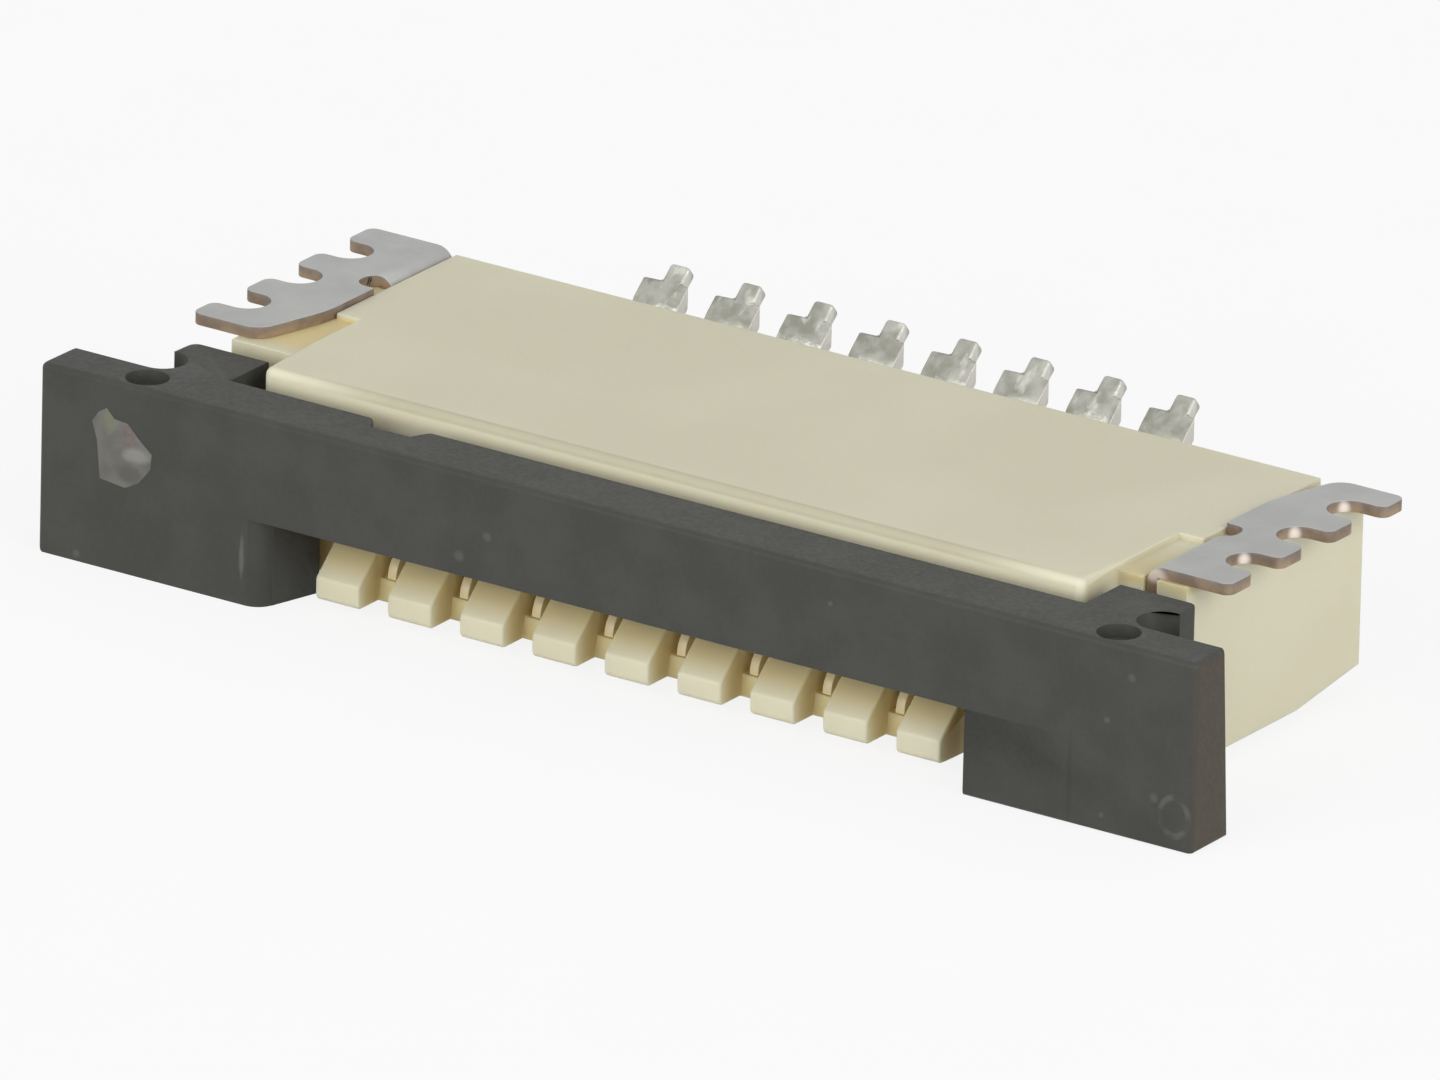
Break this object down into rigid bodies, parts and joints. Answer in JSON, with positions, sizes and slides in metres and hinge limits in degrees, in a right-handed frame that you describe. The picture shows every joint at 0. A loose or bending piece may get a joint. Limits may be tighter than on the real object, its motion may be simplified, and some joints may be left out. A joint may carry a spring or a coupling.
{
  "type": "fpc connector",
  "caption": "Low side-entry connector for a flat flexible circuit, with a pull-out slide lock, sprung contacts, angled solder tails and toothed fitting nails.",
  "frame": {"origin": "middle of the bounding box's underside, which is the connector's real top face: it lies board side up, as pictured", "axes": "+X along the contact row, +Y from the film mouth towards the solder tails, +Z towards the circuit board"},
  "size_m": [0.016, 0.0066, 0.0026],
  "materials": {
    "housing": "moulded, satin, cream",
    "slider": "moulded, matt, charcoal grey",
    "contact": "tin-plated copper alloy, satin",
    "nail": "tin-plated copper alloy, satin, bare copper-brown cut edges"
  },
  "bodies": {
    "housing": {"housing": "housing", "contact_1": "contact", "contact_2": "contact", "contact_3": "contact", "contact_4": "contact", "contact_5": "contact", "contact_6": "contact", "contact_7": "contact", "contact_8": "contact", "fitting_nail_left": "nail", "fitting_nail_right": "nail"},
    "slider": {"slider": "slider"}
  },
  "joints": [
    {"name": "slider_slide", "type": "slide", "parent": "housing", "child": "slider", "axis": [0, -1, 0], "range_m": [0, 0.0012]}
  ]
}
